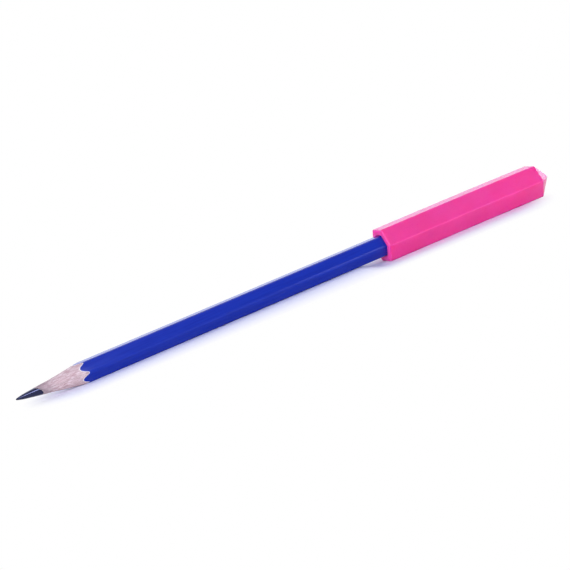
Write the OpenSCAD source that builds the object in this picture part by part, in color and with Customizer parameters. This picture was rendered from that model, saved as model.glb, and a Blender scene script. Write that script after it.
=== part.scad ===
// Chewable pencil topper: a six-sided elastomer sleeve pushed onto the plain end of a
// sharpened six-sided pencil. The pencil's point is at -X and the topper's tip at +X.
// The topper lies on one of its flats at Z = 0, and the origin is under the middle of the length.

/* [Pencil barrel] */
// Length of the pencil, from its point to its plain end
pencil_length = 178; // [150:1:190]
// Width of the painted barrel across two flats
barrel_af = 7; // [6:0.1:9]
// Radius on the six long edges of the painted barrel
barrel_edge_r = 0.5; // [0.3:0.1:1.6]
// Thickness of the paint on the wood
lacquer_t = 0.12; // [0.06:0.01:0.3]

/* [Pencil point] */
// Full angle of the sharpened cone, in degrees
point_angle = 18.2; // [14:0.2:28]
// Diameter of the worn flat at the very end of the point
point_flat_d = 0.3; // [0.1:0.1:1]
// Diameter of the graphite core
core_d = 2.7; // [1.8:0.1:4]
// Thickness of the glue between the slats and round the core
glue_t = 0.08; // [0.04:0.01:0.2]

/* [Topper] */
// Thinnest wall of the topper, between its socket and a flat
topper_wall = 2.13; // [1:0.01:4]
// Radius on the six long edges of the topper
topper_edge_r = 0.4; // [0.2:0.1:1.5]
// Length of the pencil that is held inside the topper
grip_depth = 41.8; // [20:0.2:60]
// Length of the six-sided body beyond the end of the socket
solid_end_l = 21.3; // [8:0.1:40]
// Height of the six-sided point on the closed end
tip_h = 5.5; // [3:0.1:10]
// Width across flats of the blunt top of that point
tip_flat_af = 0.5; // [0.2:0.1:2]
// Bevel round the outside of the open end
mouth_bevel = 0.6; // [0.1:0.05:0.8]
// Bevel round the mouth of the socket, which leads the pencil in
socket_lead_in = 0.5; // [0.1:0.05:0.8]

/* [Fits] */
// Clearance between each flat of the barrel and the socket
socket_clearance = 0.05; // [0.02:0.01:0.1]
// Gap between the pencil's plain end and the floor of the socket
seat_gap = 0.3; // [0.1:0.1:0.9]

/* [Hidden] */
$fn = 96;

// Six sides, and the angle from a flat's middle to its corner
corner_step = 60;
half_corner = corner_step / 2;
// Straight steps on each rounded edge, an even number so that one point is at the crown
edge_steps = 6;
// How far a cutting shape runs past what it cuts
cut_over = 1;

// Barrel: the paint follows the wood at an even thickness
wood_af = barrel_af - 2 * lacquer_t;
wood_edge_r = barrel_edge_r - lacquer_t;

// Point: one cone cuts paint, wood, glue and core
core_r = core_d / 2;
groove_r = core_r + glue_t;
point_flat_r = point_flat_d / 2;
cone_end_r = point_flat_r + pencil_length * tan(point_angle / 2);

// Topper: the socket takes its size from the barrel, and the outside from the socket
socket_af = barrel_af + 2 * socket_clearance;
socket_edge_r = barrel_edge_r + socket_clearance;
socket_depth = grip_depth + seat_gap;
topper_af = socket_af + 2 * topper_wall;
topper_body_l = socket_depth + solid_end_l;

// Places along X, with the whole length centred on the origin
bare_l = pencil_length - grip_depth;
overall_l = bare_l + topper_body_l + tip_h;
point_x = -overall_l / 2;
mouth_x = point_x + bare_l;
axis_z = topper_af / 2;

// Outline of a hexagon with flats above and below and rounded corners
function rounded_hexagon(af, edge_r) =
    let (centre_r = (af / 2 - edge_r) / cos(half_corner))
    [for (corner = [0 : corner_step : 360 - corner_step], step = [0 : edge_steps])
        let (turn = corner - half_corner + corner_step * step / edge_steps)
        centre_r * [cos(corner), sin(corner)] + edge_r * [cos(turn), sin(turn)]];

// Six-sided bar that stands on Z = 0
module hex_bar(af, edge_r, length) {
    linear_extrude(length)
        polygon(rounded_hexagon(af, edge_r));
}

// Lays a shape that stands on Z = 0 along the shared axis, starting at x
module along_axis(x) {
    translate([x, 0, axis_z])
        rotate([90, 0, 90])
            children();
}

// Keeps what the sharpener leaves of a shape that stands on the point
module sharpened() {
    intersection() {
        children();
        cylinder(h = pencil_length, r1 = point_flat_r, r2 = cone_end_r);
    }
}

// Wood of the barrel, before it is split, grooved and sharpened
module wood_bar() {
    hex_bar(wood_af, wood_edge_r, pencil_length);
}

// One half of the wood: a slat with a half-round groove for the core
module slat() {
    sharpened()
        difference() {
            intersection() {
                wood_bar();
                translate([-barrel_af, glue_t / 2, 0])
                    cube([2 * barrel_af, barrel_af, pencil_length]);
            }
            translate([0, 0, -cut_over])
                cylinder(h = pencil_length + 2 * cut_over, r = groove_r);
        }
}

// Shape whose six sides all follow one outline of half widths and heights
module six_alike_sides(one_side) {
    other_side = [for (i = [len(one_side) - 1 : -1 : 0]) [-one_side[i].x, one_side[i].y]];
    intersection_for(turn = [0 : corner_step : 2 * corner_step])
        rotate([0, 0, turn])
            rotate([90, 0, 90])
                linear_extrude(2 * topper_af, center = true)
                    polygon(concat(one_side, other_side));
}

// Outside of the topper: rounded hexagon with a bevelled mouth and a sloping tip
module topper_body() {
    half_af = topper_af / 2;
    tip_half_af = tip_flat_af / 2;
    tip_run = (half_af - tip_half_af) / tip_h;
    intersection() {
        translate([0, 0, -cut_over])
            hex_bar(topper_af, topper_edge_r, topper_body_l + tip_h + 2 * cut_over);
        six_alike_sides([
            [half_af - mouth_bevel, 0],
            [half_af + cut_over, mouth_bevel + cut_over],
            [half_af + cut_over, topper_body_l - cut_over / tip_run],
            [tip_half_af, topper_body_l + tip_h]
        ]);
    }
}

// Room for the pencil: rounded hexagon that widens at the mouth
module socket_space() {
    half_af = socket_af / 2;
    translate([0, 0, -cut_over])
        hex_bar(socket_af, socket_edge_r, socket_depth + cut_over);
    six_alike_sides([
        [half_af + socket_lead_in + cut_over, -cut_over],
        [half_af, socket_lead_in]
    ]);
}

// Chewable sleeve, moulded in one piece, with a blind six-sided socket
module topper() {
    color("#e8489c")
        along_axis(mouth_x)
            difference() {
                topper_body();
                socket_space();
            }
}

// Paint on the barrel, scalloped where the cone runs through the flats
module lacquer_coat() {
    color("#1f35bb")
        along_axis(point_x)
            sharpened()
                difference() {
                    hex_bar(barrel_af, barrel_edge_r, pencil_length);
                    translate([0, 0, -cut_over])
                        hex_bar(wood_af, wood_edge_r, pencil_length + 2 * cut_over);
                }
}

// Upper half of the wood
module upper_slat() {
    color("#e3c9bd")
        along_axis(point_x)
            slat();
}

// Lower half of the wood
module lower_slat() {
    color("#e3c9bd")
        along_axis(point_x)
            mirror([0, 1, 0])
                slat();
}

// Glue that joins the slats and beds the core
module glue_film() {
    color("#efe7cf")
        along_axis(point_x)
            sharpened()
                difference() {
                    intersection() {
                        wood_bar();
                        union() {
                            translate([-barrel_af, -glue_t / 2, 0])
                                cube([2 * barrel_af, glue_t, pencil_length]);
                            cylinder(h = pencil_length, r = groove_r);
                        }
                    }
                    translate([0, 0, -cut_over])
                        cylinder(h = pencil_length + 2 * cut_over, r = core_r);
                }
}

// Writing core
module graphite_core() {
    color("#2b2c37")
        along_axis(point_x)
            sharpened()
                cylinder(h = pencil_length, r = core_r);
}

topper();
lacquer_coat();
upper_slat();
lower_slat();
glue_film();
graphite_core();
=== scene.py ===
import math

import bmesh
import bpy
from mathutils import Matrix, Vector


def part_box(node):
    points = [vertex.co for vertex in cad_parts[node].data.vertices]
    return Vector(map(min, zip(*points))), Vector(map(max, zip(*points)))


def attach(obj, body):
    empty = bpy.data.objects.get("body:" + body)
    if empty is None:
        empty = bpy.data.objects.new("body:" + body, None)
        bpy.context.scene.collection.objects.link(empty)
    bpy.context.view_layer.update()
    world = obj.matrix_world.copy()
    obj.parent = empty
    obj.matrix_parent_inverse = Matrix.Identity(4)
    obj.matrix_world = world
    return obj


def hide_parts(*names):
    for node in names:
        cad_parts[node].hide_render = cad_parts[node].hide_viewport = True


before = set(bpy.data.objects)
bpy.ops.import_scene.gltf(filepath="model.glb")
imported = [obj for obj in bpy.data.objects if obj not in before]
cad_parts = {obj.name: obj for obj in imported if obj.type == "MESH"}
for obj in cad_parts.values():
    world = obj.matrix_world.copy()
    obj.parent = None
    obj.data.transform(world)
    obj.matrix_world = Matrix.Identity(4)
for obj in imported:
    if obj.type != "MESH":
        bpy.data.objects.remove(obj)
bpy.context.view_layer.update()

# Lengths are metres, and MM turns a size in millimetres into them
MM = 0.001

# Main sizes, read from the frame
SLEEVE_LOW, SLEEVE_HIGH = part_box("topper")
COAT_LOW, COAT_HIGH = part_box("lacquer_coat")
SLAT_LOW, SLAT_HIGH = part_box("upper_slat")
CORE_LOW, CORE_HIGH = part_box("graphite_core")
AXIS_Z = (SLEEVE_LOW.z + SLEEVE_HIGH.z) / 2
POINT_X = CORE_LOW.x
PLAIN_END_X = CORE_HIGH.x
MOUTH_X = SLEEVE_LOW.x
TIP_X = SLEEVE_HIGH.x
SLEEVE_HALF = SLEEVE_HIGH.z - AXIS_Z
BARREL_HALF = COAT_HIGH.z - AXIS_Z
WOOD_HALF = SLAT_HIGH.z - AXIS_Z
CORE_R = CORE_HIGH.z - AXIS_Z
GLUE_HALF = SLAT_LOW.z - AXIS_Z

# Sleeve: soft edges, six-sided socket and low six-sided tip
SLEEVE_EDGE_R = 0.5 * MM
MOUTH_EDGE_R = 0.58 * MM
TIP_H = 5.5 * MM
TIP_FLAT_HALF = 0.25 * MM
TIP_BASE_R = 0.5 * MM
# The rounded crown of the tip ends in a small flat, at this many degrees from the axis
CROWN_END = 4
SOCKET_CLEARANCE = 0.05 * MM
SOCKET_HALF = BARREL_HALF + SOCKET_CLEARANCE
SEAT_GAP = 0.3 * MM
SOCKET_FLOOR_X = PLAIN_END_X + SEAT_GAP
# Radius at the socket's mouth, and round its floor
LEAD_IN_R = 0.45 * MM
# The open end is matt up to the first place and satin from the second on
MATT_FULL_X = MOUTH_X + 0.1 * MM
MATT_END_X = MOUTH_X + 0.4 * MM
# The closed end, which no pencil stiffens, sags a little
SAG = 0.25 * MM
SAG_FROM_X = PLAIN_END_X - 14 * MM

# Barrel and sharpened point
BARREL_EDGE_R = 1.0 * MM
WOOD_EDGE_R = BARREL_EDGE_R - (BARREL_HALF - WOOD_HALF)
# Thickness of the undercoat between wood and paint
PRIMER_T = 0.045 * MM
POINT_FLAT_R = 0.18 * MM
CONE_RUN = math.tan(math.radians(8.85))
# The sharpener cut a little off the pencil's axis, so paint and core end at a slant
CONE_CENTRE = Vector((0.2, -0.01)) * MM
# The point is a little swollen up to its blunt end, and leans up a little
POINT_SWELL = 0.27 * MM
POINT_SWELL_L = 12 * MM
BLUNT_L = 2.5 * MM
POINT_LEAN = 0.42 * MM
POINT_LEAN_L = 16 * MM
GROOVE_R = CORE_R + 2 * GLUE_HALF
# Width across the pencil of the glue that shows round the core
GLUE_SHOW = 0.03 * MM
# Graphite dust lies on the wood up to the first place and fades out by the second
DUST_FULL_X = POINT_X + 7.5 * MM
DUST_END_X = POINT_X + 15 * MM
# Where the cone has grown to the full width of the wood
FULL_WIDTH_X = POINT_X + WOOD_HALF / CONE_RUN
# The cone leans, so it meets the core nearer to the end above than below
CORE_EDGE_CENTRE = Vector((0, -0.14)) * MM
CORE_EDGE_R = CORE_R - 0.05 * MM

# Mesh steps
EDGE_STEPS = 8
FLAT_STEPS = 10
ROUND_STEPS = 96
ARC_STEPS = 6
LIP_STEPS = 8
CROWN_STEPS = 8
WOOD_CONE_STEPS = 24
CORE_CONE_STEPS = 20
BODY_STEP = 2 * MM
# The barrel's even steps stop this far short of where the cone begins
SHOULDER_L = 1 * MM
# Points closer than the first are joined, and a cut takes points closer than the second as on it
JOIN_WITHIN = 1e-7
CUT_WITHIN = 1e-8
# A fold of more than this is left as a crisp edge
SHARP_FOLD = math.radians(30)

SIXTH = math.radians(60)
ALONG_X = Matrix.Rotation(math.radians(90), 4, "Y")


def linear(hex_colour):
    """Linear RGBA of an sRGB hex colour."""
    shares = [int(hex_colour[i:i + 2], 16) / 255 for i in (1, 3, 5)]
    return [s / 12.92 if s <= 0.04045 else ((s + 0.055) / 1.055) ** 2.4 for s in shares] + [1.0]


def add_node(tree, kind, inputs=None, **settings):
    """Adds a node with its settings. An input is a constant, or another node's output to link."""
    node = tree.nodes.new(kind)
    for name, value in settings.items():
        setattr(node, name, value)
    for name, value in (inputs or {}).items():
        if isinstance(value, bpy.types.NodeSocket):
            tree.links.new(value, node.inputs[name])
        else:
            node.inputs[name].default_value = value
    return node


# Sockets of a colour Mix node, whose names repeat
MIX_SHARE, MIX_A, MIX_B, MIX_OUT = 0, 6, 7, 2
# Most of a noise node's values lie between these
NOISE_LOW, NOISE_HIGH = 0.3, 0.7


def new_material(name):
    """An empty material: itself, its node tree and the object coordinates."""
    material = bpy.data.materials.new(name)
    material.use_nodes = True
    tree = material.node_tree
    tree.nodes.clear()
    return material, tree, add_node(tree, "ShaderNodeTexCoord").outputs["Object"]


def per_metre(size_mm):
    """Noise scale at which one blotch is about that many millimetres across."""
    return 1 / (size_mm * MM)


# Rings and walls

def hexagon_ring(bm, half_flat, edge_r):
    """A ring of edges round the X axis: a hexagon with rounded corners, flats above and below."""
    corners = bmesh.ops.create_circle(
        bm, cap_ends=True, segments=6, radius=half_flat / math.cos(SIXTH / 2), matrix=ALONG_X)["verts"]
    bmesh.ops.bevel(
        bm, geom=corners, offset=edge_r * math.tan(SIXTH / 2), offset_type="OFFSET",
        segments=EDGE_STEPS, profile=0.5, affect="VERTICES", material=-1)
    flats = sorted(bm.edges, key=lambda edge: edge.calc_length())[-6:]
    bmesh.ops.subdivide_edges(bm, edges=flats, cuts=FLAT_STEPS - 1)
    bmesh.ops.delete(bm, geom=bm.faces[:], context="FACES_ONLY")
    return bm.edges[:]


def round_ring(bm, x, radius):
    """A ring of edges round the X axis: a circle."""
    place = Matrix.Translation((x, 0, 0)) @ ALONG_X
    points = bmesh.ops.create_circle(bm, segments=ROUND_STEPS, radius=radius, matrix=place)["verts"]
    return list({edge for point in points for edge in point.link_edges})


def next_ring(bm, ring, place):
    """Extrudes a ring and moves each new point to where place puts it."""
    made = bmesh.ops.extrude_edge_only(bm, edges=ring)["geom"]
    points = {item for item in made if isinstance(item, bmesh.types.BMVert)}
    for point in points:
        point.co = place(point.co)
    edges = [item for item in made if isinstance(item, bmesh.types.BMEdge)]
    return [edge for edge in edges if points.issuperset(edge.verts)]


def walk_hexagon(bm, ring, half, stations):
    """Carries a hexagonal ring through stations of x and half width across flats."""
    for x, next_half in stations:
        share = next_half / half
        ring = next_ring(bm, ring, lambda co: Vector((x, co.y * share, co.z * share)))
        half = next_half
    return ring


def walk_round(bm, ring, stations):
    """Carries a ring through stations of x and radius, each a full circle."""
    for x, radius in stations:
        ring = next_ring(bm, ring, lambda co: Vector((x, *(co.yz.normalized() * radius))))
    return ring


def arc(x, across, radius, start, end, steps):
    """Stations on an arc about (x, across) from one angle to another, in degrees from +X."""
    turns = [math.radians(start + (end - start) * i / steps) for i in range(steps + 1)]
    return [(x + radius * math.cos(turn), across + radius * math.sin(turn)) for turn in turns]


def straight(x_from, x_to, across, step):
    """Stations along a straight stretch, both ends left out."""
    count = max(1, round(abs(x_to - x_from) / step))
    return [(x_from + (x_to - x_from) * i / count, across) for i in range(1, count)]


def on_cone(across):
    """The point of the sharpener's cone at that place across the pencil."""
    return Vector((POINT_X + ((across - CONE_CENTRE).length - POINT_FLAT_R) / CONE_RUN, *across))


def drawn_onto(centre, radius):
    """Says where a place across the pencil lands when it is drawn onto a circle round a centre."""
    return lambda across: centre + (across - centre).normalized() * radius


def walk_cone(bm, ring, goal, steps):
    """Carries a ring along the cone in even steps, to where goal puts each point across the pencil."""
    for left in range(steps, 0, -1):
        keep = (left - 1) / left
        ring = next_ring(bm, ring, lambda co: on_cone(goal(co.yz).lerp(co.yz, keep)))
    return ring


def sag_at(x):
    """How far the sleeve's closed end hangs down at x."""
    return SAG * max(0, (x - SAG_FROM_X) / (TIP_X - SAG_FROM_X)) ** 2


def as_sharpened(co):
    """Where a place on the straight cone lies on the real point, which is swollen, blunt and leans up."""
    along = co.x - POINT_X
    swell = POINT_SWELL * max(0, 1 - (along / POINT_SWELL_L) ** 2) * math.sqrt(min(1, along / BLUNT_L))
    lean = POINT_LEAN * max(0, 1 - along / POINT_LEAN_L)
    out = co.yz - CONE_CENTRE
    across = co.yz + out.normalized() * swell
    return Vector((co.x, across.x, across.y + lean))


def finish_piece(bm, name, body, nodes, materials):
    bmesh.ops.remove_doubles(bm, verts=bm.verts[:], dist=JOIN_WITHIN)
    bmesh.ops.recalc_face_normals(bm, faces=bm.faces[:])
    for point in bm.verts:
        if point.co.x < POINT_X + POINT_LEAN_L:
            point.co = as_sharpened(point.co)
    bmesh.ops.translate(bm, verts=bm.verts[:], vec=(0, 0, AXIS_Z))
    for face in bm.faces:
        face.smooth = True
    for edge in bm.edges:
        edge.smooth = edge.calc_face_angle(0) < SHARP_FOLD
    mesh = bpy.data.meshes.new(name)
    bm.to_mesh(mesh)
    bm.free()
    for material in materials:
        mesh.materials.append(material)
    piece = bpy.data.objects.new(name, mesh)
    bpy.context.scene.collection.objects.link(piece)
    shading = piece.modifiers.new("flats_stay_flat", "WEIGHTED_NORMAL")
    shading.weight = 100
    shading.keep_sharp = True
    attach(piece, body)
    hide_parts(*nodes)
    return piece


# Materials

def moulded_elastomer():
    """Pink thermoplastic elastomer from a blasted mould: satin, matt at the open end, translucent."""
    material, tree, place = new_material("moulded_pink_elastomer")
    cloud = add_node(tree, "ShaderNodeTexNoise", {"Vector": place, "Scale": per_metre(9), "Detail": 2.0})
    share = add_node(tree, "ShaderNodeMapRange", {
        "Value": cloud.outputs["Fac"], "From Min": NOISE_LOW, "From Max": NOISE_HIGH},
        interpolation_type="SMOOTHSTEP")
    colour = add_node(tree, "ShaderNodeMix", {
        MIX_SHARE: share.outputs["Result"], MIX_A: linear("#ea3c9b"), MIX_B: linear("#ee42a3")},
        data_type="RGBA")
    # The mould's grain is finer than this, and is drawn coarser so that it can show
    grain = add_node(tree, "ShaderNodeTexNoise", {"Vector": place, "Scale": per_metre(0.3), "Detail": 3.0})
    satin = add_node(tree, "ShaderNodeMapRange", {
        "Value": grain.outputs["Fac"], "From Min": NOISE_LOW, "From Max": NOISE_HIGH,
        "To Min": 0.26, "To Max": 0.36})
    along = add_node(tree, "ShaderNodeSeparateXYZ", {"Vector": place})
    matt = add_node(tree, "ShaderNodeMapRange", {
        "Value": along.outputs["X"], "From Min": MATT_FULL_X, "From Max": MATT_END_X,
        "To Min": 0.7, "To Max": 0.0})
    rough = add_node(tree, "ShaderNodeMath", {
        0: satin.outputs["Result"], 1: matt.outputs["Result"]}, operation="MAXIMUM")
    bump = add_node(tree, "ShaderNodeBump", {
        "Height": grain.outputs["Fac"], "Strength": 0.25, "Distance": 0.02 * MM})
    shader = add_node(tree, "ShaderNodeBsdfPrincipled", {
        "Base Color": colour.outputs[MIX_OUT], "Roughness": rough.outputs["Value"],
        "Normal": bump.outputs["Normal"], "IOR": 1.41,
        "Subsurface Weight": 0.8, "Subsurface Radius": (1.0, 0.25, 0.5), "Subsurface Scale": 4 * MM})
    add_node(tree, "ShaderNodeOutputMaterial", {"Surface": shader.outputs["BSDF"]})
    return material


def dipped_lacquer():
    """Blue nitrocellulose lacquer, dipped in several coats: glossy, with the wood's lines just showing."""
    material, tree, place = new_material("dipped_blue_lacquer")
    drawn_out = add_node(tree, "ShaderNodeMapping", {"Vector": place, "Scale": (0.04, 1.0, 1.0)})
    lines = add_node(tree, "ShaderNodeTexNoise", {
        "Vector": drawn_out.outputs["Vector"], "Scale": per_metre(0.5), "Detail": 3.0})
    share = add_node(tree, "ShaderNodeMapRange", {
        "Value": lines.outputs["Fac"], "From Min": NOISE_LOW, "From Max": NOISE_HIGH},
        interpolation_type="SMOOTHSTEP")
    colour = add_node(tree, "ShaderNodeMix", {
        MIX_SHARE: share.outputs["Result"], MIX_A: linear("#0c28a4"), MIX_B: linear("#0e2dad")},
        data_type="RGBA")
    rough = add_node(tree, "ShaderNodeMapRange", {
        "Value": lines.outputs["Fac"], "From Min": NOISE_LOW, "From Max": NOISE_HIGH,
        "To Min": 0.14, "To Max": 0.22})
    line_bump = add_node(tree, "ShaderNodeBump", {
        "Height": lines.outputs["Fac"], "Strength": 0.2, "Distance": 0.01 * MM})
    peel = add_node(tree, "ShaderNodeTexNoise", {"Vector": place, "Scale": per_metre(1.6), "Detail": 1.0})
    bump = add_node(tree, "ShaderNodeBump", {
        "Height": peel.outputs["Fac"], "Strength": 0.2, "Distance": 0.02 * MM,
        "Normal": line_bump.outputs["Normal"]})
    shader = add_node(tree, "ShaderNodeBsdfPrincipled", {
        "Base Color": colour.outputs[MIX_OUT], "Roughness": rough.outputs["Result"],
        "Normal": bump.outputs["Normal"], "IOR": 1.36})
    add_node(tree, "ShaderNodeOutputMaterial", {"Surface": shader.outputs["BSDF"]})
    return material


def cut_primer():
    """Pale undercoat, laid bare by the sharpener's blade as a thin chalky line under the paint."""
    material, tree, place = new_material("cut_primer")
    chalk = add_node(tree, "ShaderNodeTexNoise", {"Vector": place, "Scale": per_metre(0.25), "Detail": 2.0})
    colour = add_node(tree, "ShaderNodeMix", {
        MIX_SHARE: chalk.outputs["Fac"], MIX_A: linear("#d9d3de"), MIX_B: linear("#f4f0f2")},
        data_type="RGBA")
    shader = add_node(tree, "ShaderNodeBsdfPrincipled", {
        "Base Color": colour.outputs[MIX_OUT], "Roughness": 0.7, "IOR": 1.45})
    add_node(tree, "ShaderNodeOutputMaterial", {"Surface": shader.outputs["BSDF"]})
    return material


def sharpened_wood():
    """Basswood, cut by a sharpener: long fine grain, short pores, graphite dust close to the core."""
    material, tree, place = new_material("sharpened_basswood")
    fibres = add_node(tree, "ShaderNodeMapping", {"Vector": place, "Scale": (0.09, 1.0, 1.0)})
    grain = add_node(tree, "ShaderNodeTexNoise", {
        "Vector": fibres.outputs["Vector"], "Scale": per_metre(0.32), "Detail": 4.0, "Roughness": 0.6})
    grain_share = add_node(tree, "ShaderNodeMapRange", {
        "Value": grain.outputs["Fac"], "From Min": 0.32, "From Max": 0.68}, interpolation_type="SMOOTHSTEP")
    grained = add_node(tree, "ShaderNodeMix", {
        MIX_SHARE: grain_share.outputs["Result"], MIX_A: linear("#b898a6"), MIX_B: linear("#ddccda")},
        data_type="RGBA")
    pore = add_node(tree, "ShaderNodeTexNoise", {
        "Vector": fibres.outputs["Vector"], "Scale": per_metre(0.16), "Detail": 1.0})
    pore_share = add_node(tree, "ShaderNodeMapRange", {
        "Value": pore.outputs["Fac"], "From Min": 0.6, "From Max": 0.7, "To Max": 0.75})
    with_pores = add_node(tree, "ShaderNodeMix", {
        MIX_SHARE: pore_share.outputs["Result"], MIX_A: grained.outputs[MIX_OUT], MIX_B: linear("#9a6470")},
        data_type="RGBA")
    along = add_node(tree, "ShaderNodeSeparateXYZ", {"Vector": place})
    near_core = add_node(tree, "ShaderNodeMapRange", {
        "Value": along.outputs["X"], "From Min": DUST_FULL_X, "From Max": DUST_END_X,
        "To Min": 1.3, "To Max": 0.0}, interpolation_type="SMOOTHSTEP")
    blotch = add_node(tree, "ShaderNodeTexNoise", {"Vector": place, "Scale": per_metre(1.3), "Detail": 3.0})
    dust = add_node(tree, "ShaderNodeMath", {
        0: near_core.outputs["Result"], 1: blotch.outputs["Fac"]}, operation="MULTIPLY")
    dusted = add_node(tree, "ShaderNodeMix", {
        MIX_SHARE: dust.outputs["Value"], MIX_A: with_pores.outputs[MIX_OUT], MIX_B: linear("#7a6a7c")},
        data_type="RGBA")
    bump = add_node(tree, "ShaderNodeBump", {
        "Height": grain.outputs["Fac"], "Strength": 0.5, "Distance": 0.03 * MM})
    shader = add_node(tree, "ShaderNodeBsdfPrincipled", {
        "Base Color": dusted.outputs[MIX_OUT], "Roughness": 0.7, "Normal": bump.outputs["Normal"],
        "IOR": 1.4})
    add_node(tree, "ShaderNodeOutputMaterial", {"Surface": shader.outputs["BSDF"]})
    return material


def white_glue():
    """Dried PVA glue between the slats and round the core, greyed by graphite along the cut."""
    material, tree, place = new_material("dried_wood_glue")
    smear = add_node(tree, "ShaderNodeTexNoise", {"Vector": place, "Scale": per_metre(0.4), "Detail": 2.0})
    colour = add_node(tree, "ShaderNodeMix", {
        MIX_SHARE: smear.outputs["Fac"], MIX_A: linear("#a89a9e"), MIX_B: linear("#8c8088")},
        data_type="RGBA")
    shader = add_node(tree, "ShaderNodeBsdfPrincipled", {
        "Base Color": colour.outputs[MIX_OUT], "Roughness": 0.5, "IOR": 1.45})
    add_node(tree, "ShaderNodeOutputMaterial", {"Surface": shader.outputs["BSDF"]})
    return material


def burnished_graphite():
    """Fired graphite and clay, burnished by the blade: near black, with a silky sheen along its length."""
    material, tree, place = new_material("burnished_graphite")
    drawn_out = add_node(tree, "ShaderNodeMapping", {"Vector": place, "Scale": (0.08, 1.0, 1.0)})
    streak = add_node(tree, "ShaderNodeTexNoise", {
        "Vector": drawn_out.outputs["Vector"], "Scale": per_metre(0.2), "Detail": 3.0})
    colour = add_node(tree, "ShaderNodeMix", {
        MIX_SHARE: streak.outputs["Fac"], MIX_A: linear("#0a0b22"), MIX_B: linear("#111230")},
        data_type="RGBA")
    rough = add_node(tree, "ShaderNodeMapRange", {
        "Value": streak.outputs["Fac"], "From Min": NOISE_LOW, "From Max": NOISE_HIGH,
        "To Min": 0.15, "To Max": 0.22})
    bump = add_node(tree, "ShaderNodeBump", {
        "Height": streak.outputs["Fac"], "Strength": 0.12, "Distance": 0.02 * MM})
    shader = add_node(tree, "ShaderNodeBsdfPrincipled", {
        "Base Color": colour.outputs[MIX_OUT], "Roughness": rough.outputs["Result"],
        "Normal": bump.outputs["Normal"], "IOR": 1.65, "Specular Tint": linear("#b4bcff")})
    add_node(tree, "ShaderNodeOutputMaterial", {"Surface": shader.outputs["BSDF"]})
    return material


# Pieces

def make_sleeve(material):
    """Chewable sleeve: six-sided outside with soft edges, blind six-sided socket, low pointed end."""
    bm = bmesh.new()
    base_x = TIP_X - TIP_H
    slope = math.degrees(math.atan2(SLEEVE_HALF - TIP_FLAT_HALF, TIP_H))
    lean = math.radians(slope)
    base_start = base_x - TIP_BASE_R * math.tan(lean / 2)
    sharp_tip_x = base_x + SLEEVE_HALF / math.tan(lean)
    tip_r = (sharp_tip_x - TIP_X) / (1 / math.cos(lean) - 1)
    mouth_end = MOUTH_X + MOUTH_EDGE_R
    first = hexagon_ring(bm, SLEEVE_HALF, SLEEVE_EDGE_R)
    for point in bm.verts:
        point.co.x = mouth_end
    body = straight(mouth_end, base_start, SLEEVE_HALF, BODY_STEP)
    base = arc(base_start, SLEEVE_HALF - TIP_BASE_R, TIP_BASE_R, 90, 90 - slope, ARC_STEPS)
    crown = arc(TIP_X - tip_r, 0, tip_r, 90 - slope, CROWN_END, CROWN_STEPS)
    ring = walk_hexagon(bm, first, SLEEVE_HALF, body + base + crown)
    bmesh.ops.edgeloop_fill(bm, edges=ring)
    lip = arc(mouth_end, SLEEVE_HALF - MOUTH_EDGE_R, MOUTH_EDGE_R, 90, 180, LIP_STEPS)[1:]
    ring = walk_hexagon(bm, first, SLEEVE_HALF, lip)
    lead_in = arc(MOUTH_X + LEAD_IN_R, SOCKET_HALF + LEAD_IN_R, LEAD_IN_R, 180, 270, ARC_STEPS)
    wall_end = SOCKET_FLOOR_X - LEAD_IN_R
    wall = straight(MOUTH_X + LEAD_IN_R, wall_end, SOCKET_HALF, 4 * BODY_STEP)
    fillet = arc(wall_end, SOCKET_HALF - LEAD_IN_R, LEAD_IN_R, 90, 0, ARC_STEPS)
    ring = walk_hexagon(bm, ring, SLEEVE_HALF - MOUTH_EDGE_R, lead_in + wall + fillet)
    bmesh.ops.edgeloop_fill(bm, edges=ring)
    for point in bm.verts:
        point.co.z -= sag_at(point.co.x)
    return finish_piece(bm, "chew_sleeve", "topper", ["topper"], [material])


def barrel_side(bm, half, edge_r, step):
    """The barrel's long side from the plain end to the cone: its first and its last ring."""
    first = hexagon_ring(bm, half, edge_r)
    for point in bm.verts:
        point.co.x = PLAIN_END_X
    shoulder_x = max(on_cone(point.co.yz).x for point in bm.verts) + SHOULDER_L
    stretch = straight(PLAIN_END_X, shoulder_x, half, step) + [(shoulder_x, half)]
    ring = walk_hexagon(bm, first, half, stretch)
    return first, next_ring(bm, ring, lambda co: on_cone(co.yz))


def make_coat(paint, primer):
    """Paint on the barrel: a thin closed shell whose scalloped front edge follows the sharpener's cone."""
    bm = bmesh.new()
    first, ring = barrel_side(bm, BARREL_HALF, BARREL_EDGE_R, 2 * BODY_STEP)
    primer_half = WOOD_HALF + PRIMER_T
    ring = next_ring(bm, ring, lambda co: on_cone(co.yz * primer_half / BARREL_HALF))
    painted = set(bm.faces)
    ring = next_ring(bm, ring, lambda co: on_cone(co.yz * WOOD_HALF / primer_half))
    for face in set(bm.faces) - painted:
        face.material_index = 1
    ring = walk_hexagon(bm, ring, WOOD_HALF, [(PLAIN_END_X, WOOD_HALF)])
    bmesh.ops.bridge_loops(bm, edges=first + ring)
    return finish_piece(bm, "paint_coat", "pencil", ["lacquer_coat"], [paint, primer])


def wood_tube(bm):
    """The sharpened barrel without its core, as a closed tube round the X axis."""
    first, ring = barrel_side(bm, WOOD_HALF, WOOD_EDGE_R, 4 * BODY_STEP)
    ring = walk_cone(bm, ring, drawn_onto(CORE_EDGE_CENTRE, CORE_EDGE_R + GLUE_SHOW), WOOD_CONE_STEPS)
    ring = walk_round(bm, ring, [(FULL_WIDTH_X, GROOVE_R), (PLAIN_END_X, GROOVE_R)])
    bmesh.ops.bridge_loops(bm, edges=first + ring)
    bmesh.ops.recalc_face_normals(bm, faces=bm.faces[:])


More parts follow.
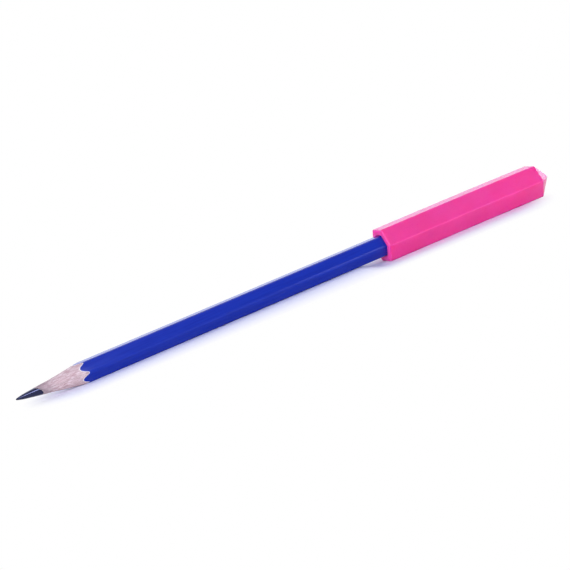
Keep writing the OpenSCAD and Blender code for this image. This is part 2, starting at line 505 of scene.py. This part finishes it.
def keep_beyond(bm, height, upwards):
    """Cuts a mesh along the axis at that height, keeps one side and closes the cut."""
    made = bmesh.ops.bisect_plane(
        bm, geom=bm.verts[:] + bm.edges[:] + bm.faces[:], dist=CUT_WITHIN, plane_co=(0, 0, height),
        plane_no=(0, 0, 1 if upwards else -1), clear_inner=True)
    cut = [item for item in made["geom_cut"] if isinstance(item, bmesh.types.BMEdge)]
    bmesh.ops.edgeloop_fill(bm, edges=cut)


def make_slat(name, node, upwards, material):
    """One half of the wood, from the feathered edge at the core to the sawn end."""
    bm = bmesh.new()
    wood_tube(bm)
    keep_beyond(bm, GLUE_HALF if upwards else -GLUE_HALF, upwards)
    return finish_piece(bm, name, "pencil", [node], [material])


def make_glue(material):
    """Glue: a film on each side between the slats, and a thin sleeve round the core."""
    bm = bmesh.new()
    wood_tube(bm)
    keep_beyond(bm, GLUE_HALF, False)
    keep_beyond(bm, -GLUE_HALF, True)
    first = round_ring(bm, PLAIN_END_X, GROOVE_R)
    ring = walk_round(bm, first, [(FULL_WIDTH_X, GROOVE_R)])
    ring = walk_cone(bm, ring, drawn_onto(CORE_EDGE_CENTRE, CORE_EDGE_R + GLUE_SHOW), 1)
    ring = walk_cone(bm, ring, drawn_onto(CORE_EDGE_CENTRE, CORE_EDGE_R), 1)
    ring = walk_round(bm, ring, [(FULL_WIDTH_X, CORE_R), (PLAIN_END_X, CORE_R)])
    bmesh.ops.bridge_loops(bm, edges=first + ring)
    return finish_piece(bm, "glue_line", "pencil", ["glue_film"], [material])


def make_core(material):
    """Writing core: a rod with a sharpened cone and a worn tip."""
    bm = bmesh.new()
    first = round_ring(bm, PLAIN_END_X, CORE_R)
    ring = walk_round(bm, first, [(FULL_WIDTH_X, CORE_R)])
    ring = walk_cone(bm, ring, drawn_onto(CORE_EDGE_CENTRE, CORE_EDGE_R), 1)
    ring = walk_cone(bm, ring, drawn_onto(CONE_CENTRE, POINT_FLAT_R), CORE_CONE_STEPS)
    bmesh.ops.edgeloop_fill(bm, edges=ring)
    bmesh.ops.edgeloop_fill(bm, edges=first)
    return finish_piece(bm, "writing_core", "pencil", ["graphite_core"], [material])


make_sleeve(moulded_elastomer())
make_coat(dipped_lacquer(), cut_primer())
wood = sharpened_wood()
make_slat("upper_wood_slat", "upper_slat", True, wood)
make_slat("lower_wood_slat", "lower_slat", False, wood)
make_glue(white_glue())
make_core(burnished_graphite())


# Floor: it touches the sleeve's lower mouth edge and the paint's lower front edge, as the object lies
REST_X = MOUTH_X + MOUTH_EDGE_R
FLOOR_TILT = math.atan2(AXIS_Z - BARREL_HALF, REST_X - COAT_LOW.x)
FLOOR_DROP = 0.02 * MM
# Its grid is fine under the object and grows coarse towards the edge, by this power
FLOOR_REACH = 3.0
FLOOR_FINE_X, FLOOR_FINE_Y = 0.14, 0.06
FLOOR_POWER = 9
FLOOR_CELLS_X, FLOOR_CELLS_Y = 200, 100
# The soft sheet swells up under the object and fills this share of the room there
SWELL_SHARE = 0.93
SWELL_FLAT_Y = 3 * MM
SWELL_END_Y = 22 * MM
# Under the barrel it comes down again over this stretch before the sleeve's mouth
SWELL_FULL_X = MOUTH_X - 12 * MM
SWELL_END_X = MOUTH_X - 3 * MM
# From a line under the object it is seen as matt up to SEEN_MATT, and as white from SEEN_WHITE on
# Near the object this white glow is painted light that cuts the shadow's soft tail short
SEEN_LINE_HALF = 82 * MM
SEEN_MATT = 6 * MM
SEEN_WHITE = 20 * MM
# Its colour for the light that it sheds, and a darker, cooler seen one: painted shade in the shadow
PAPER = linear("#f4f4f4")
PAPER_SEEN = (0.86, 0.88, 1.12, 1)
WHITE = (1, 1, 1, 1)


def smooth_step(start, end, value):
    """Goes from 0 at start to 1 at end without a kink."""
    share = min(1, max(0, (value - start) / (end - start)))
    return share * share * (3 - 2 * share)


def floor_point(co):
    """Spreads an even grid out, finest under the object, and swells it up towards the object."""
    x = FLOOR_FINE_X * co.x + (FLOOR_REACH - FLOOR_FINE_X) * co.x ** FLOOR_POWER
    y = FLOOR_FINE_Y * co.y + (FLOOR_REACH - FLOOR_FINE_Y) * co.y ** FLOOR_POWER
    slope = math.tan(FLOOR_TILT)
    under_barrel = max(0, x - COAT_LOW.x) * slope * smooth_step(SWELL_END_X, SWELL_FULL_X, x)
    reach = min(x, TIP_X)
    under_sleeve = max(0, reach - REST_X) * slope - sag_at(reach)
    room = max(under_barrel, under_sleeve * smooth_step(TIP_X + SWELL_END_Y, TIP_X, x))
    beside = 1 - smooth_step(SWELL_FLAT_Y, SWELL_END_Y, abs(y))
    return Vector((x, y, SWELL_SHARE * max(0, room) * beside))


def white_sweep():
    """Matt paper that keeps the shadow near the object. Further off, camera and reflections see white."""
    material, tree, place = new_material("matt_white_sweep")
    path = add_node(tree, "ShaderNodeLightPath")
    mirrored = add_node(tree, "ShaderNodeMath", {
        0: path.outputs["Is Glossy Ray"], 1: path.outputs["Is Transmission Ray"]}, operation="MAXIMUM")
    seen = add_node(tree, "ShaderNodeMath", {
        0: path.outputs["Is Camera Ray"], 1: mirrored.outputs["Value"]}, operation="MAXIMUM")
    either_side = add_node(tree, "ShaderNodeVectorMath", {0: place}, operation="ABSOLUTE")
    past_end = add_node(tree, "ShaderNodeVectorMath", {
        0: either_side.outputs["Vector"], 1: (SEEN_LINE_HALF, 0, 0)}, operation="SUBTRACT")
    off_line = add_node(tree, "ShaderNodeVectorMath", {
        0: past_end.outputs["Vector"], 1: (0, 0, 0)}, operation="MAXIMUM")
    away = add_node(tree, "ShaderNodeVectorMath", {0: off_line.outputs["Vector"]}, operation="LENGTH")
    # Painted light: the white glow fades in over the shadow's outer part
    fade = add_node(tree, "ShaderNodeMapRange", {
        "Value": away.outputs["Value"], "From Min": SEEN_MATT, "From Max": SEEN_WHITE},
        interpolation_type="SMOOTHSTEP")
    white_share = add_node(tree, "ShaderNodeMath", {
        0: seen.outputs["Value"], 1: fade.outputs["Result"]}, operation="MULTIPLY")
    # Camera and reflections see the darker, cooler paper, which paints the shadow deeper and bluer
    paper = add_node(tree, "ShaderNodeMix", {
        MIX_SHARE: seen.outputs["Value"], MIX_A: PAPER, MIX_B: PAPER_SEEN}, data_type="RGBA")
    matt = add_node(tree, "ShaderNodeBsdfDiffuse", {"Color": paper.outputs[MIX_OUT]})
    white = add_node(tree, "ShaderNodeEmission", {"Color": WHITE, "Strength": 1.0})
    both = add_node(tree, "ShaderNodeMixShader", {
        0: white_share.outputs["Value"], 1: matt.outputs["BSDF"], 2: white.outputs["Emission"]})
    add_node(tree, "ShaderNodeOutputMaterial", {"Surface": both.outputs["Shader"]})
    return material


def lay_floor(material):
    """A soft sheet under the object, tilted as the object lies."""
    bm = bmesh.new()
    bmesh.ops.create_grid(bm, x_segments=FLOOR_CELLS_X, y_segments=FLOOR_CELLS_Y, size=1)
    for point in bm.verts:
        point.co = floor_point(point.co)
    for face in bm.faces:
        face.smooth = True
    lie = (Matrix.Translation((REST_X, 0, -FLOOR_DROP)) @ Matrix.Rotation(FLOOR_TILT, 4, "Y")
           @ Matrix.Translation((-REST_X, 0, 0)))
    bmesh.ops.transform(bm, matrix=lie, verts=bm.verts[:])
    mesh = bpy.data.meshes.new("floor")
    bm.to_mesh(mesh)
    bm.free()
    mesh.materials.append(material)
    floor = bpy.data.objects.new("floor", mesh)
    bpy.context.scene.collection.objects.link(floor)


lay_floor(white_sweep())


# Light

def soft_box(name, place, aim, size, brightness):
    """A square soft box that faces aim. Its power follows from how bright its face is."""
    lamp = bpy.data.lights.new(name, "AREA")
    lamp.shape = "SQUARE"
    lamp.size = size
    lamp.energy = brightness * math.pi * size * size
    holder = bpy.data.objects.new(name, lamp)
    holder.location = place
    holder.rotation_euler = (Vector(aim) - Vector(place)).to_track_quat("-Z", "Y").to_euler()
    bpy.context.scene.collection.objects.link(holder)
    return holder


def studio_world(strength, in_reflections):
    """Even pale surroundings, brighter in reflections, and white to the camera and through glass."""
    world = bpy.data.worlds.new("studio")
    bpy.context.scene.world = world
    world.use_nodes = True
    tree = world.node_tree
    tree.nodes.clear()
    path = add_node(tree, "ShaderNodeLightPath")
    mirrored = add_node(tree, "ShaderNodeMapRange", {
        "Value": path.outputs["Is Glossy Ray"], "To Min": strength, "To Max": in_reflections})
    straight_on = add_node(tree, "ShaderNodeMath", {
        0: path.outputs["Is Camera Ray"], 1: path.outputs["Is Transmission Ray"]}, operation="MAXIMUM")
    level = add_node(tree, "ShaderNodeMath", {
        0: straight_on.outputs["Value"], 1: mirrored.outputs["Result"]}, operation="MAXIMUM")
    back = add_node(tree, "ShaderNodeBackground", {
        "Color": WHITE, "Strength": level.outputs["Value"]})
    add_node(tree, "ShaderNodeOutputWorld", {"Surface": back.outputs["Background"]})


studio_world(strength=0.05, in_reflections=0.4)
# Each box has its place, what it faces, its side in metres and its brightness, where 1 is white
soft_box("main_box", (-0.05, -0.70, 0.57), (0, 0, 0), 0.3, 9.0)
soft_box("left_box", (-0.80, -0.30, 0.16), (0, 0, 0), 0.5, 9.0)
soft_box("front_right_box", (0.30, -0.35, 0.06), (0.07, 0, 0), 0.3, 2.8)
soft_box("back_left_box", (-0.60, 0.60, 0.31), (0, 0, 0), 0.9, 0.7)
soft_box("high_back_box", (0.25, 0.45, 0.74), (0, 0, 0), 1.2, 1.25)
# Cards round about, which show in gloss and shed no light, cool white behind and white in front
cool_cards = [
    soft_box("back_card", (0.35, 0.81, 0.22), (0, 0, 0), 0.6, 1.37),
    soft_box("right_card", (0.73, 0.53, 0.05), (0.09, 0, 0), 0.3, 5.0)]
for card in cool_cards:
    card.data.color = linear("#e2e7ff")[:3]
white_card = soft_box("front_card", (-0.25, -0.70, 0.59), (0, 0, 0), 0.4, 5.0)
for card in cool_cards + [white_card]:
    card.visible_diffuse = False


# Camera: fitted to the corners of the sleeve and the pencil's point
CAMERA_AZIMUTH = math.radians(21.223)
CAMERA_ELEVATION = math.radians(10.066)
CAMERA_ROLL = math.radians(-19.143)
CAMERA_AIM = Vector((-4.109, 0, 6.227)) * MM
CAMERA_DISTANCE = 664.62 * MM
IMAGE_SIDE = 570
FOCAL_PIXELS = 2000
SENSOR_MM = 36


def photo_camera():
    """The photograph's camera: long lens, a little above the table, rolled so that the pencil climbs."""
    data = bpy.data.cameras.new("photo_camera")
    data.sensor_width = SENSOR_MM
    data.lens = FOCAL_PIXELS / IMAGE_SIDE * SENSOR_MM
    data.clip_start = 0.01
    data.clip_end = 20
    turn = (Matrix.Rotation(-CAMERA_AZIMUTH, 4, "Z")
            @ Matrix.Rotation(math.radians(90) - CAMERA_ELEVATION, 4, "X"))
    look = turn.to_3x3() @ Vector((0, 0, -1))
    camera = bpy.data.objects.new("photo_camera", data)
    camera.matrix_world = (Matrix.Translation(CAMERA_AIM - look * CAMERA_DISTANCE)
                           @ turn @ Matrix.Rotation(CAMERA_ROLL, 4, "Z"))
    bpy.context.scene.collection.objects.link(camera)
    bpy.context.scene.camera = camera


photo_camera()
bpy.context.scene.view_settings.view_transform = "Standard"
